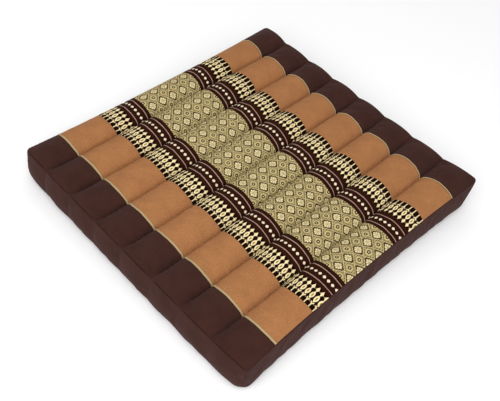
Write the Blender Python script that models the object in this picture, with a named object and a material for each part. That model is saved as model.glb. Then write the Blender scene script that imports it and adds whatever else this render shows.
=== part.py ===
"""Channel-stitched zabuton: a square seat cushion of eight stuffed tubes under a pieced top cover.

+X runs across the tubes, +Y along them and +Z up. The origin is under the middle of the base.
Lengths are in metres.
"""

import math
from collections import namedtuple

import bmesh
import bpy

# Plan of the filled body. The long sides draw in between the corners
PITCH = 0.060
RIM_X = 0.2335
CORNER_FLARE_X = 0.0058
CHANNEL_DRIFT = -0.0043  # the channels sit nearer the left side, where the outer tube is narrower
END_Y = 0.2526
CORNER_SHIFT_Y = {"front": 0.0030, "back": 0.0062}  # the corners reach further back at both ends
SHIFT_FROM = 0.195
BOW = 0.015  # every cross seam bows outwards over the tubes, by this share of its distance from the middle
END_BOW = 0.35  # share of the bow that is left at the end seams

# Heights of the filled body
VALLEY_Z = 0.0500
RIM_RISE = {"left": 0.0018, "right": 0.0054, "end": 0.0042}
END_CROWN = 0.18  # share of the crown that is left above the end seams
END_ROUNDING = 0.027
GROOVE = 0.0050
LAND = 0.40  # share of each tube's width that lies flat on the floor
BASE_EDGE = 0.0060
BASE_ROUNDING = 0.025

# How far the sides swell out between the base seam and the top seam
END_SEAM_SWELL = 0.0062
END_TUBE_SWELL = 0.0024
LONG_SIDE_SWELL = 0.0036
CORNER_TUCK = 0.0040
LOW_SWELL = 0.6  # under 1, so the swell is fullest in the lower half

# Cloth. Heights are upright, so a sloping sheet is a little thinner across its face
COTTON = 0.0016
BROCADE = 0.0018
FOLDED_EDGE = 0.0022
COVER_GAP = 0.0005
BAND = 0.0013
BAND_GAP = 0.0003
CUT_GAP = 0.0003  # between neighbouring sheets, where they are sewn

# Where the sheets of the top meet, measured from the middle along a channel seam
PANEL_END = 0.1230
TAN_MIDDLE = 0.1580
GoldEdge = namedtuple("GoldEdge", "inner outer")
GOLD = {"front": GoldEdge(0.1932, 0.1968), "back": GoldEdge(0.1938, 0.1960)}
HALF_LINES = (0.0620, PANEL_END, 0.195)
END_LINES = (0.2250, 0.2385, 0.2475, END_Y)

# Each channel seam's shift from its even place, and how far it leans towards +X at the back
Seam = namedtuple("Seam", "shift lean")
SEAMS = (
    Seam(shift=0.0005, lean=0.0000),
    Seam(shift=-0.0005, lean=0.0007),
    Seam(shift=-0.0012, lean=-0.0003),
    Seam(shift=-0.0006, lean=0.0002),
    Seam(shift=0.0000, lean=-0.0018),
    Seam(shift=-0.0003, lean=-0.0016),
    Seam(shift=0.0013, lean=-0.0003),
)
CROWNS = (0.0124, 0.0128, 0.0125, 0.0127, 0.0124, 0.0128, 0.0126, 0.0123)
TUBES = len(CROWNS)

# Mesh steps: across one tube's crown, and up the sides
TUBE_STEPS = 6
SIDE_STEPS = 5

Finish = namedtuple("Finish", "colour roughness")
BROWN_COTTON = Finish((0.047, 0.017, 0.014), 0.90)
TAN_COTTON = Finish((0.42, 0.19, 0.078), 0.90)
GOLD_COTTON = Finish((0.56, 0.41, 0.21), 0.75)
BROCADE_CLOTH = Finish((0.31, 0.23, 0.10), 0.80)

Station = namedtuple("Station", "tube share")


def blend(a, b, share):
    """The value that lies this share of the way from a to b."""
    return a + (b - a) * share


def half_turn():
    """Half the angle of the round arc that a tube's crown makes over its pitch."""
    crown = sum(CROWNS) / TUBES
    return 2 * math.atan(crown / (PITCH / 2))


def arch(share):
    """Height of the round arc above its chord, from 0 at both seams to 1 at the crown."""
    turn = half_turn()
    radius = 0.5 / math.sin(turn)
    foot = radius * math.cos(turn)
    return (math.sqrt(radius**2 - (share - 0.5) ** 2) - foot) / (radius - foot)


def stations():
    """Places across the cushion: even steps along each crown's arc, with each seam once."""
    turn = half_turn()
    places = []
    for tube in range(TUBES):
        for step in range(TUBE_STEPS):
            angle = turn * (2 * step / TUBE_STEPS - 1)
            places.append(Station(tube, 0.5 + 0.5 * math.sin(angle) / math.sin(turn)))
    places.append(Station(TUBES - 1, 1.0))
    return places


def near_end(line, start):
    """How far a cross line is past a start on its way to the end seam, from 0 to 1."""
    return max(0.0, (abs(line) - start) / (END_Y - start))


def seam_x(seam, line):
    """X of a channel seam, or of the rim for the first and the last, on the cross line at this distance."""
    if seam in (0, TUBES):
        flare = CORNER_FLARE_X * abs(line / END_Y) ** 2.5
        return math.copysign(RIM_X + flare, seam - TUBES / 2)
    drift = SEAMS[seam - 1]
    return (seam - TUBES / 2) * PITCH + CHANNEL_DRIFT + drift.shift + drift.lean * line / END_Y


def seam_rise(seam, line):
    """How far a channel seam, or the rim, lies above the valleys' level on a cross line."""
    if seam in (0, TUBES):
        return RIM_RISE["left" if seam == 0 else "right"]
    return RIM_RISE["end"] * near_end(line, END_Y - END_ROUNDING) ** 2


def plan(station, line):
    """(x, y) of a station on a cross line, which is named by its distance from the middle at the seams."""
    x = blend(seam_x(station.tube, line), seam_x(station.tube + 1, line), station.share)
    past = near_end(line, SHIFT_FROM) ** 2
    corner = min(1.0, abs(x) / RIM_X) ** 6
    bow = BOW * line * arch(station.share) * blend(1.0, END_BOW, past)
    return x, line + bow + CORNER_SHIFT_Y["front" if line < 0 else "back"] * past * corner


def top_z(station, line):
    """Height of the body's top: arched tubes between sunken seams, held up all round by the rim."""
    left = seam_rise(station.tube, line)
    right = seam_rise(station.tube + 1, line)
    reach = 1 - near_end(line, END_Y - END_ROUNDING)
    crown = CROWNS[station.tube] - (left + right) / 2
    crown = blend(CROWNS[station.tube] * END_CROWN, crown, math.sqrt(1 - (1 - reach) ** 2))
    return VALLEY_Z + blend(left, right, station.share) + crown * arch(station.share)


def base_z(station, line):
    """Height of the underside: flat lands under the tubes, grooves at the seams and a rounded edge."""
    off_land = max(0.0, abs(station.share - 0.5) - LAND / 2) / (0.5 - LAND / 2)
    return math.hypot(GROOVE * off_land**2, BASE_EDGE * near_end(line, END_Y - BASE_ROUNDING) ** 2)


def side_point(station, line, height, clear=(0.0, 0.0)):
    """A point on the side wall at this share of its height, moved by clear along X and Y."""
    x, y = plan(station, line)
    across = min(1.0, abs(x) / RIM_X) ** 8
    along = abs(line / END_Y) ** 8
    length = math.hypot(across, along)
    if abs(line) == END_Y and station.tube + station.share in (0, TUBES):
        swell = -CORNER_TUCK
    elif abs(line) == END_Y:
        swell = (END_SEAM_SWELL + END_TUBE_SWELL * arch(station.share)) * (1 - across)
    else:
        swell = LONG_SIDE_SWELL * (1 - along)
    low = height**LOW_SWELL
    out = swell * 4 * low * (1 - low)
    x += math.copysign(out * across / length, x) + clear[0]
    y += math.copysign(out * along / length, y) + clear[1]
    return x, y, blend(base_z(station, line), top_z(station, line), height)


def cross_lines():
    """The body's cross lines from front to back."""
    half = HALF_LINES + END_LINES
    return [-line for line in reversed(half)] + [0.0] + list(half)


def perimeter(rows):
    """The outer items of a grid of rows, once round, starting with the first row."""
    right = [row[-1] for row in rows[1:]]
    back = list(reversed(rows[-1][:-1]))
    left = [row[0] for row in reversed(rows[1:-1])]
    return list(rows[0]) + right + back + left


def weave(bm, rows, outside):
    """Fills a grid of vertices with quads that face out, or in for the hidden side."""
    for near, far in zip(rows, rows[1:]):
        for i in range(len(near) - 1):
            corners = (near[i], near[i + 1], far[i + 1], far[i])
            bm.faces.new(corners if outside else (corners[0], corners[3], corners[2], corners[1]))


def closed_solid(name, finish, under, over, belts=()):
    """Adds one closed solid between two equal grids of points, by way of the belts between their edges."""
    mesh = bpy.data.meshes.new(name)
    bm = bmesh.new()
    grids = [[[bm.verts.new(point) for point in row] for row in grid] for grid in (under, over)]
    weave(bm, grids[0], outside=False)
    weave(bm, grids[1], outside=True)
    loops = [perimeter(grids[0])]
    loops += [[bm.verts.new(point) for point in belt] for belt in belts]
    loops.append(perimeter(grids[1]))
    for low, high in zip(loops, loops[1:]):
        for i in range(len(low)):
            after = (i + 1) % len(low)
            bm.faces.new((low[i], low[after], high[after], high[i]))
    bmesh.ops.triangulate(bm, faces=bm.faces, quad_method="FIXED")
    bm.to_mesh(mesh)
    bm.free()
    mesh.shade_smooth()
    mesh.set_sharp_from_angle(angle=math.radians(40))
    mesh.materials.append(material_for(finish, name))
    solid = bpy.data.objects.new(name, mesh)
    bpy.context.scene.collection.objects.link(solid)


def material_for(finish, name):
    """A plain cloth material in the finish's colour."""
    material = bpy.data.materials.new(name)
    material.use_nodes = True
    shader = material.node_tree.nodes["Principled BSDF"]
    shader.inputs["Base Color"].default_value = (*finish.colour, 1)
    shader.inputs["Roughness"].default_value = finish.roughness
    shader.inputs["Metallic"].default_value = 0
    return material


def cushion_body():
    """The filled pillow with its base: crown, channels above and below, and sides that swell and draw in."""
    across = stations()
    lines = cross_lines()
    grids = []
    for height in (base_z, top_z):
        grids.append([[(*plan(s, line), height(s, line)) for s in across] for line in lines])
    rim = perimeter([[(s, line) for s in across] for line in lines])
    belts = []
    for step in range(1, SIDE_STEPS):
        belts.append([side_point(s, line, step / SIDE_STEPS) for s, line in rim])
    closed_solid("cushion_body", BROWN_COTTON, grids[0], grids[1], belts)


def top_sheet(name, finish, thickness, lines):
    """A sheet of the top cover, laid over the tubes between its first and last cross line."""
    across = stations()
    grids = []
    for rise in (COVER_GAP, COVER_GAP + thickness):
        grids.append([[(*plan(s, line), top_z(s, line) + rise) for s in across] for line in lines])
    closed_solid(name, finish, grids[0], grids[1])


def side_band(side, route, outwards):
    """One length of the side band, along a route that runs anticlockwise seen from above."""
    levels = [step / SIDE_STEPS for step in range(SIDE_STEPS + 1)]
    grids = []
    for distance in (BAND_GAP, BAND_GAP + BAND):
        clear = (outwards[0] * distance, outwards[1] * distance)
        grids.append([[side_point(s, line, level, clear) for s, line in route] for level in levels])
    closed_solid(f"side_band_{side}", BROWN_COTTON, grids[0], grids[1])


def between(first, last, inner=()):
    """Cross lines of a sheet that is cut back from its neighbours by half the cut gap at both ends."""
    return [first + CUT_GAP / 2, *inner, last - CUT_GAP / 2]


def mirrored(lines, end):
    """The same lines at the back, or turned over to the front."""
    return list(lines) if end == "back" else [-line for line in reversed(lines)]


def build():
    """Makes every piece of the cushion."""
    for old in list(bpy.data.objects):
        bpy.data.objects.remove(old)
    cushion_body()
    for end in ("front", "back"):
        gold = GOLD[end]
        strip = [gold.outer + CUT_GAP / 2, *END_LINES]
        tan = between(PANEL_END, gold.inner, (TAN_MIDDLE,))
        edge = between(gold.inner, gold.outer)
        top_sheet(f"end_strip_{end}", BROWN_COTTON, COTTON, mirrored(strip, end))
        top_sheet(f"gold_edge_{end}", GOLD_COTTON, FOLDED_EDGE, mirrored(edge, end))
        top_sheet(f"tan_strip_{end}", TAN_COTTON, COTTON, mirrored(tan, end))
    half_panel = [HALF_LINES[0], PANEL_END - CUT_GAP / 2]
    panel = mirrored(half_panel, "front") + [0.0] + half_panel
    top_sheet("woven_panel", BROCADE_CLOTH, BROCADE, panel)
    across = stations()
    lines = cross_lines()
    side_band("front", [(s, -END_Y) for s in across], (0, -1))
    side_band("right", [(across[-1], line) for line in lines], (1, 0))
    side_band("back", [(s, END_Y) for s in reversed(across)], (0, 1))
    side_band("left", [(across[0], line) for line in reversed(lines)], (-1, 0))


build()
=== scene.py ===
"""A channel-stitched zabuton: fine cloth shapes, woven finishes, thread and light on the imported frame."""

import logging
import math
from dataclasses import dataclass, field
from enum import Enum

import bpy
import numpy as np
from mathutils import Matrix


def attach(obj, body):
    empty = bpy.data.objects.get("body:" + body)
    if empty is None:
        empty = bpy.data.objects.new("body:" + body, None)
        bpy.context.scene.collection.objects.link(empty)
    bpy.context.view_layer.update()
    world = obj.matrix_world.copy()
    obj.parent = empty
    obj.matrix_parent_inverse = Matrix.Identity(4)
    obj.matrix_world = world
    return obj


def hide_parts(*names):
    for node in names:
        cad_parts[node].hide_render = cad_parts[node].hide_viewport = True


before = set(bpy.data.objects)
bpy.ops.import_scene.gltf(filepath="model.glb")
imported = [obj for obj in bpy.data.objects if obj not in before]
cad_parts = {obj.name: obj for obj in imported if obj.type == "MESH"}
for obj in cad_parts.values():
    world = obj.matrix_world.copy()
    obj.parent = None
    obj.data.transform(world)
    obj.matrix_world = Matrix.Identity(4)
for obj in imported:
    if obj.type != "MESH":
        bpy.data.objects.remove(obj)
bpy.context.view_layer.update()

LOG = logging.getLogger("zabuton")
Array = np.ndarray
Colour = tuple[float, float, float]

MM = 0.001
CLOTH_UV = "Cloth"
PILLOW = "padded_pillow"
# The brocade's repeat in millimetres: dots and spindles stand one apart, rosettes three.
REPEAT = 8.0
OLIVE: Colour = (0.20, 0.155, 0.034)


class End(Enum):
    """The two ends of the stuffed tubes."""

    FRONT = -1
    BACK = 1


class Side(Enum):
    """The four walls, in order anticlockwise seen from above."""

    FRONT = "front"
    RIGHT = "right"
    BACK = "back"
    LEFT = "left"

    @property
    def closes_tubes(self) -> bool:
        """Whether the wall runs along the tubes' ends."""
        return self in (Side.FRONT, Side.BACK)


def blend(first: Array | float, last: Array | float, share: Array | float) -> Array | float:
    """The value that lies this share of the way from first to last."""
    return first + (last - first) * share


def by_end(line: Array, front_and_back: tuple[float, float]) -> Array:
    """The front's or the back's value for each cross line, by its sign."""
    return np.where(line < 0, *front_and_back)


def smooth(values: Array, sigma: float, axis: int) -> Array:
    """Evens out a grid of values along one axis with a bell-shaped window.

    Args:
        values: The grid.
        sigma: Half width of the window, in grid steps.
        axis: The axis to work along.

    Returns:
        The evened grid, of the same shape.
    """
    reach = max(1, int(round(3 * sigma)))
    window = np.exp(-0.5 * (np.arange(-reach, reach + 1) / sigma) ** 2)
    window /= window.sum()
    moved = np.moveaxis(values, axis, 0)
    padding = [(reach, reach)] + [(0, 0)] * (moved.ndim - 1)
    padded = np.pad(moved, padding, mode="edge")
    evened = sum(weight * padded[i : i + len(moved)] for i, weight in enumerate(window))
    return np.moveaxis(evened, 0, axis)


def spline_weights(places: Array, knots: Array) -> Array:
    """Weights that read a row of knot values smoothly at other places.

    Args:
        places: Where the values are wanted.
        knots: Evenly spaced places where they are known, in rising order.

    Returns:
        One row of weights for each place, one column for each knot.
    """
    steps = (places - knots[0]) / (knots[1] - knots[0])
    cell = np.clip(np.floor(steps).astype(int), 0, len(knots) - 2)
    part = np.clip(steps - cell, 0.0, 1.0)
    cubic = (
        ((2 - part) * part - 1) * part / 2,
        ((3 * part - 5) * part**2 + 2) / 2,
        ((4 - 3 * part) * part + 1) * part / 2,
        (part - 1) * part**2 / 2,
    )
    weights = np.zeros((len(places), len(knots)))
    rows = np.arange(len(places))
    for offset, share in zip((-1, 0, 1, 2), cubic):
        np.add.at(weights, (rows, np.clip(cell + offset, 0, len(knots) - 1)), share)
    return weights


@dataclass(frozen=True)
class CushionForm:
    """The stuffed cushion's shape, from the same named sizes as the CAD part, in metres.

    A place on it is named by `across`, the tube's number plus the share of its arc, and by `line`, the
    distance of its cross line from the middle, negative to the front. The pair `rim_rise` is for the left and
    the right rim, and the other pairs are for the front and the back.
    """

    tubes: int = 8
    pitch: float = 0.060
    rim_x: float = 0.2335
    corner_flare: float = 0.0058
    flare_power: float = 2.5
    drift: float = -0.0043
    end_y: float = 0.2526
    corner_shift: tuple[float, float] = (0.0030, 0.0062)
    shift_from: float = 0.195
    shift_power: int = 6
    bow: float = 0.015
    end_bow: float = 0.35
    valley_z: float = 0.0500
    rim_rise: tuple[float, float] = (0.0018, 0.0054)
    end_rise: float = 0.0042
    end_crown: float = 0.18
    end_rounding: float = 0.027
    groove: float = 0.0050
    end_groove: float = 0.15
    land: float = 0.40
    base_edge: float = 0.0060
    base_rounding: float = 0.025
    seam_swell: float = 0.0062
    tube_swell: float = 0.0010
    side_swell: float = 0.0036
    corner_swell: float = 0.0050
    low_swell: float = 0.6
    wall_power: int = 8
    rim_corners: tuple[float, float] = (0.0045, 0.0032)
    low_corners: tuple[float, float] = (0.013, 0.028)
    corner_power: float = 1.5
    rim_lean: float = 0.5
    lean_power: int = 60
    crease_depth: float = 0.0028
    crease_width: float = 0.0022
    pucker: float = 0.22
    pucker_wave: float = 0.0105
    pucker_shift: float = 2.4
    pucker_drift: float = 9.0
    seam_shift: tuple[float, ...] = (0.0005, -0.0005, -0.0012, -0.0006, 0.0, -0.0003, 0.0013)
    seam_lean: tuple[float, ...] = (0.0, 0.0007, -0.0003, 0.0002, -0.0018, -0.0016, -0.0003)
    seam_take: tuple[float, ...] = (0.0, 0.0, 0.0020, 0.0058, 0.0045, 0.0064, 0.0030)
    crowns: tuple[float, ...] = (0.0124, 0.0128, 0.0125, 0.0127, 0.0124, 0.0128, 0.0126, 0.0123)

    @property
    def half_turn(self) -> float:
        """Half the angle of the round arc that a tube's crown makes over its pitch."""
        return 2 * math.atan(sum(self.crowns) / self.tubes / (self.pitch / 2))

    def even_places(self, tube_steps: int) -> Array:
        """Places all the way across, with so many steps to a tube."""
        return np.arange(self.tubes * tube_steps + 1) / tube_steps

    def even_lines(self, count: int) -> Array:
        """So many cross lines from the front end to the back end."""
        return np.linspace(-self.end_y, self.end_y, count)

    def split(self, across: Array) -> tuple[Array, Array]:
        """Names a place across the cushion by its tube and the share of the tube's width.

        Args:
            across: Place across the cushion, from 0 to the number of tubes.

        Returns:
            The tube numbers and the shares of the width.
        """
        tube = np.minimum(np.floor(across).astype(int), self.tubes - 1)
        angle = self.half_turn * (2 * (across - tube) - 1)
        return tube, 0.5 + 0.5 * np.sin(angle) / math.sin(self.half_turn)

    def arch(self, share: Array) -> Array:
        """Height of a tube's round arc above its chord.

        Args:
            share: Share of the tube's width.

        Returns:
            The height, from 0 at both seams to 1 at the crown.
        """
        radius = 0.5 / math.sin(self.half_turn)
        foot = radius * math.cos(self.half_turn)
        return (np.sqrt(radius**2 - (share - 0.5) ** 2) - foot) / (radius - foot)

    def near_end(self, line: Array, start: float) -> Array:
        """How far a cross line is past a start on its way to the end seam, from 0 to 1."""
        return np.clip((np.abs(line) - start) / (self.end_y - start), 0.0, None)

    def near_rim(self, place: Array, rim: float, power: int) -> Array:
        """How near a place is to the rim, from 0 in the middle to 1, rising late where the power is high."""
        return np.minimum(1.0, np.abs(place) / rim) ** power

    def seam_x(self, seam: Array, line: Array) -> Array:
        """X of a channel seam, or of the rim for the first and the last.

        Args:
            seam: Number of the seam, from 0 at the left rim.
            line: Cross line.

        Returns:
            The X.
        """
        shift = np.array([0.0, *self.seam_shift, 0.0])[seam]
        lean = np.array([0.0, *self.seam_lean, 0.0])[seam]
        inner = (seam - self.tubes / 2) * self.pitch + self.drift + shift + lean * line / self.end_y
        rim = self.rim_x + self.corner_flare * np.abs(line / self.end_y) ** self.flare_power
        return np.where(seam == 0, -rim, np.where(seam == self.tubes, rim, inner))

    def seam_rise(self, seam: Array, line: Array) -> Array:
        """How far a channel seam, or the rim, lies above the valleys' level on a cross line."""
        inner = self.end_rise * self.near_end(line, self.end_y - self.end_rounding) ** 2
        return np.where(seam == 0, self.rim_rise[0], np.where(seam == self.tubes, self.rim_rise[1], inner))

    def plan(self, across: Array, line: Array) -> tuple[Array, Array]:
        """Where a place lies seen from above.

        Args:
            across: Place across the cushion.
            line: Cross line, named by its distance from the middle at the seams.

        Returns:
            The X and the Y.
        """
        tube, share = self.split(across)
        x = blend(self.seam_x(tube, line), self.seam_x(tube + 1, line), share)
        past = self.near_end(line, self.shift_from) ** 2
        corner = self.near_rim(x, self.rim_x, self.shift_power)
        bow = self.bow * line * self.arch(share) * blend(1.0, self.end_bow, past)
        return x, line + bow + by_end(line, self.corner_shift) * past * corner

    def top_z(self, across: Array, line: Array) -> Array:
        """Height of the pillow's top: arched tubes between sunken seams, held up all round by the rim.

        Args:
            across: Place across the cushion.
            line: Cross line.

        Returns:
            The height.
        """
        tube, share = self.split(across)
        left, right = self.seam_rise(tube, line), self.seam_rise(tube + 1, line)
        reach = np.clip(1 - self.near_end(line, self.end_y - self.end_rounding), 0.0, 1.0)
        full = np.array(self.crowns)[tube]
        crown = blend(full * self.end_crown, full - (left + right) / 2, np.sqrt(1 - (1 - reach) ** 2))
        valley = self.valley_z + blend(left, right, share)
        return valley + crown * self.arch(share) - self.crease(tube, share, line)

    def crease(self, tube: Array, share: Array, line: Array) -> Array:
        """The narrow, puckered crease that the stitches pull along each channel seam.

        Args:
            tube: Number of the tube.
            share: Share of the tube's width.
            line: Cross line.

        Returns:
            The crease's depth.
        """
        depth = np.zeros(np.broadcast(share, line).shape)
        for seam, distance in ((tube, share), (tube + 1, 1 - share)):
            inner = (seam > 0) & (seam < self.tubes)
            turn = 2 * math.pi * line / self.pucker_wave + self.pucker_shift * seam
            gather = 1 + self.pucker * np.sin(turn + self.pucker_drift * line / self.end_y)
            fall = np.exp(-((distance * self.pitch / self.crease_width) ** 2))
            depth = depth + np.where(inner, fall * gather, 0.0)
        fade = np.clip((self.end_y - np.abs(line)) / self.end_rounding, 0.0, 1.0)
        return self.crease_depth * depth * fade

    def base_z(self, across: Array, line: Array) -> Array:
        """Height of the underside: flat lands under the tubes, grooves at the seams, a rounded edge.

        Args:
            across: Place across the cushion.
            line: Cross line.

        Returns:
            The height.
        """
        share = self.split(across)[1]
        off_land = np.clip(np.abs(share - 0.5) - self.land / 2, 0.0, None) / (0.5 - self.land / 2)
        near = self.near_end(line, self.end_y - self.base_rounding) ** 2
        return np.hypot(self.groove * off_land**2 * blend(1.0, self.end_groove, near), self.base_edge * near)

    def rounded(self, points: Array, radius: Array | float) -> Array:
        """Moves points in the square corners of the plan in to a round.

        Args:
            points: Points, with X, Y and Z on the last axis.
            radius: Radius of the round for each point.

        Returns:
            The moved points.
        """
        side = np.sign(points[..., :2])
        front_shift, back_shift = self.corner_shift
        reach_y = self.end_y + by_end(points[..., 1], (-front_shift, back_shift))
        centre = np.stack([np.broadcast_to(self.rim_x + self.corner_flare, reach_y.shape), reach_y], -1)
        centre = centre - np.broadcast_to(radius, reach_y.shape)[..., None]
        past = np.abs(points[..., :2]) - centre
        in_corner = (past > 0).all(-1)
        length = np.where(in_corner, np.hypot(past[..., 0], past[..., 1]), 1.0)
        scale = np.where(in_corner, past.max(-1) / length, 1.0)[..., None]
        moved = points.copy()
        moved[..., :2] = np.where(in_corner[..., None], side * (centre + past * scale), points[..., :2])
        return moved

    def top(self, across: Array, line: Array, rise: float = 0.0) -> Array:
        """Points of the top.

        Args:
            across: Place across the cushion.
            line: Cross line.
            rise: How far they are lifted, which also moves them out at the rim.

        Returns:
            The points, with X, Y and Z on the last axis.
        """
        x, y = self.plan(across, line)
        x = x + self.rim_lean * rise * np.sign(x) * self.near_rim(x, self.rim_x, self.lean_power)
        y = y + self.rim_lean * rise * np.sign(y) * self.near_rim(line, self.end_y, self.lean_power)
        points = np.stack([x, y, self.top_z(across, line) + rise], -1)
        return self.rounded(points, by_end(line, self.rim_corners))

    def base(self, across: Array, line: Array) -> Array:
        """Points of the underside.

        Args:
            across: Place across the cushion.
            line: Cross line.

        Returns:
            The points, with X, Y and Z on the last axis.
        """
        x, y = self.plan(across, line)
        points = np.stack([x, y, self.base_z(across, line)], -1)
        return self.rounded(points, by_end(line, self.low_corners))

    def wall(self, across: Array, line: Array, height: Array) -> Array:
        """Points of the side walls, which swell a little all round.

        Args:
            across: Place across the cushion.
            line: Cross line.
            height: Share of the wall's height, from 0 at the base to 1 at the rim.

        Returns:
            The points, with X, Y and Z on the last axis.
        """
        x, y = self.plan(across, line)
        share = self.split(across)[1]
        near_x = self.near_rim(x, self.rim_x, self.wall_power)
        near_y = self.near_rim(line, self.end_y, self.wall_power)
        length = np.hypot(near_x, near_y)
        bulge = self.seam_swell + self.tube_swell * np.sin(math.pi * share) ** 2
        end_wall = blend(bulge, self.corner_swell, near_x)
        long_wall = blend(self.side_swell, self.corner_swell, near_y)
        swell = np.where(np.isclose(np.abs(line), self.end_y), end_wall, long_wall)
        lifted = height**self.low_swell
        out = swell * 4 * lifted * (1 - lifted)
        x = x + np.sign(x) * out * near_x / length
        y = y + np.sign(y) * out * near_y / length
        z = blend(self.base_z(across, line), self.top_z(across, line), height)
        low, high = by_end(line, self.low_corners), by_end(line, self.rim_corners)
        return self.rounded(np.stack([x, y, z], -1), blend(low, high, height**self.corner_power))

    def route(self, side: Side, steps: Array) -> tuple[Array, Array]:
        """Places along one wall, anticlockwise seen from above.

        Args:
            side: The wall.
            steps: Shares of the wall's length, from 0 to 1.

        Returns:
            The places across the cushion and the cross lines.
        """
        whole = np.ones_like(steps)
        if side is Side.FRONT:
            return steps * self.tubes, -self.end_y * whole
        if side is Side.BACK:
            return (1 - steps) * self.tubes, self.end_y * whole
        line = (2 * steps - 1) * self.end_y
        return (self.tubes * whole, line) if side is Side.RIGHT else (0 * whole, -line)


@dataclass
class Puffing:
    """How the stuffing fills the cover: a cloth simulation for its wrinkles, and soft lumps.

    `slack` is how much larger than the form the cover is cut, as a share. The caps are the most that a
    wrinkle moves the cloth. Only wrinkles between the short and the long wave are kept.
    """

    form: CushionForm
    tube_steps: int = 14
    line_count: int = 127
    wall_levels: int = 9
    frames: int = 22
    quality: int = 6
    slack: float = 0.022
    pressure: float = 4.0
    point_mass: float = 0.2
    stretch_stiffness: float = 15.0
    shear_stiffness: float = 5.0
    bend_stiffness: float = 1.2
    top_cap: float = 0.0011
    wall_cap: float = 0.0016
    short_wave: float = 0.0032
    long_wave: float = 0.016
    edge_fade: float = 0.010
    lump_height: float = 0.0007
    lump_turns: tuple[float, float] = (22.0, 75.0)
    lump_count: int = 4
    seed: int = 11
    across: Array = field(init=False)
    lines: Array = field(init=False)
    levels: Array = field(init=False)
    wall_steps: dict[Side, Array] = field(init=False)
    top_wrinkles: Array = field(init=False)
    wall_wrinkles: dict[Side, Array] = field(init=False)
    lump_waves: Array = field(init=False)
    lump_starts: Array = field(init=False)
    lump_sides: Array = field(init=False)

    def __post_init__(self) -> None:
        self.across = self.form.even_places(self.tube_steps)
        self.lines = self.form.even_lines(self.line_count)
        self.levels = np.linspace(0.0, 1.0, self.wall_levels)
        counts = {side: len(self.across if side.closes_tubes else self.lines) for side in Side}
        self.wall_steps = {side: np.linspace(0.0, 1.0, count) for side, count in counts.items()}
        self.top_wrinkles = np.zeros((len(self.lines), len(self.across), 3))
        self.wall_wrinkles = {
            side: np.zeros((len(self.levels), len(steps), 3)) for side, steps in self.wall_steps.items()
        }
        self.simulate()
        self.make_lumps()

    def simulate(self) -> None:
        """Blows up the slack cover between its sewn lines, and keeps the wrinkles that this makes."""
        rows, columns = len(self.lines), len(self.across)
        top = self.form.top(*np.meshgrid(self.across, self.lines))
        grid = np.arange(rows * columns).reshape(rows, columns)
        rims = {
            Side.FRONT: grid[0],
            Side.RIGHT: grid[:, -1],
            Side.BACK: grid[-1, ::-1],
            Side.LEFT: grid[::-1, 0],
        }
        sewn = np.zeros((rows, columns), bool)
        sewn[:, :: self.tube_steps] = True
        sewn[[0, -1]] = True
        points, faces, pins = [top.reshape(-1, 3)], [quads(grid)], [np.flatnonzero(sewn)]
        count = grid.size
        wall_grids: dict[Side, Array] = {}
        for side, steps in self.wall_steps.items():
            step, height = np.meshgrid(steps, self.levels[:-1])
            wall = self.form.wall(*self.form.route(side, step), height)
            below = np.arange(count, count + step.size).reshape(step.shape)
            count += step.size
            wall_grids[side] = np.vstack([below, rims[side]])
            points.append(wall.reshape(-1, 3))
            faces.append(quads(wall_grids[side]))
            pins.append(np.concatenate([below[0], below[:, 0], below[:, -1]]))
        rest = np.concatenate(points)
        moved = self.settle(rest, np.concatenate(faces), np.concatenate(pins)) - rest
        self.top_wrinkles = self.wrinkles_only(moved[grid], self.lines[1] - self.lines[0], 0, self.top_cap)
        for side, wall_grid in wall_grids.items():
            length = 2 * (self.form.rim_x if side.closes_tubes else self.form.end_y)
            spacing = length * self.wall_steps[side][1]
            self.wall_wrinkles[side] = self.wrinkles_only(moved[wall_grid], spacing, 1, self.wall_cap)

    def settle(self, rest: Array, faces: Array, pins: Array) -> Array:
        """Runs Blender's cloth on the coarse cover.

        Args:
            rest: The cover's points before it is blown up.
            faces: Its quads.
            pins: The points that the stitching holds still.

        Returns:
            The points after the last frame.
        """
        mesh = bpy.data.meshes.new("coarse_cover")
        mesh.from_pydata(rest.tolist(), [], faces.tolist())
        cover = bpy.data.objects.new("coarse_cover", mesh)
        scene = bpy.context.scene
        scene.collection.objects.link(cover)
        cover.vertex_groups.new(name="sewn").add(pins.tolist(), 1.0, "REPLACE")
        cloth = cover.modifiers.new("puff", "CLOTH")
        cloth.settings.vertex_group_mass = "sewn"
        cloth.settings.quality = self.quality
        cloth.settings.mass = self.point_mass
        cloth.settings.tension_stiffness = self.stretch_stiffness
        cloth.settings.compression_stiffness = self.stretch_stiffness
        cloth.settings.shear_stiffness = self.shear_stiffness
        cloth.settings.bending_stiffness = self.bend_stiffness
        cloth.settings.use_pressure = True
        cloth.settings.uniform_pressure_force = self.pressure
        cloth.settings.shrink_min = -self.slack
        cloth.settings.effector_weights.gravity = 0
        cloth.collision_settings.use_collision = False
        cloth.point_cache.frame_end = self.frames
        for step in range(1, self.frames + 1):
            scene.frame_set(step)
        settled = cover.evaluated_get(bpy.context.evaluated_depsgraph_get()).data
        points = np.empty(len(settled.vertices) * 3, np.float32)
        settled.vertices.foreach_get("co", points)
        bpy.data.objects.remove(cover)
        bpy.data.meshes.remove(mesh)
        scene.frame_set(1)
        return points.reshape(-1, 3).astype(float)

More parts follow.
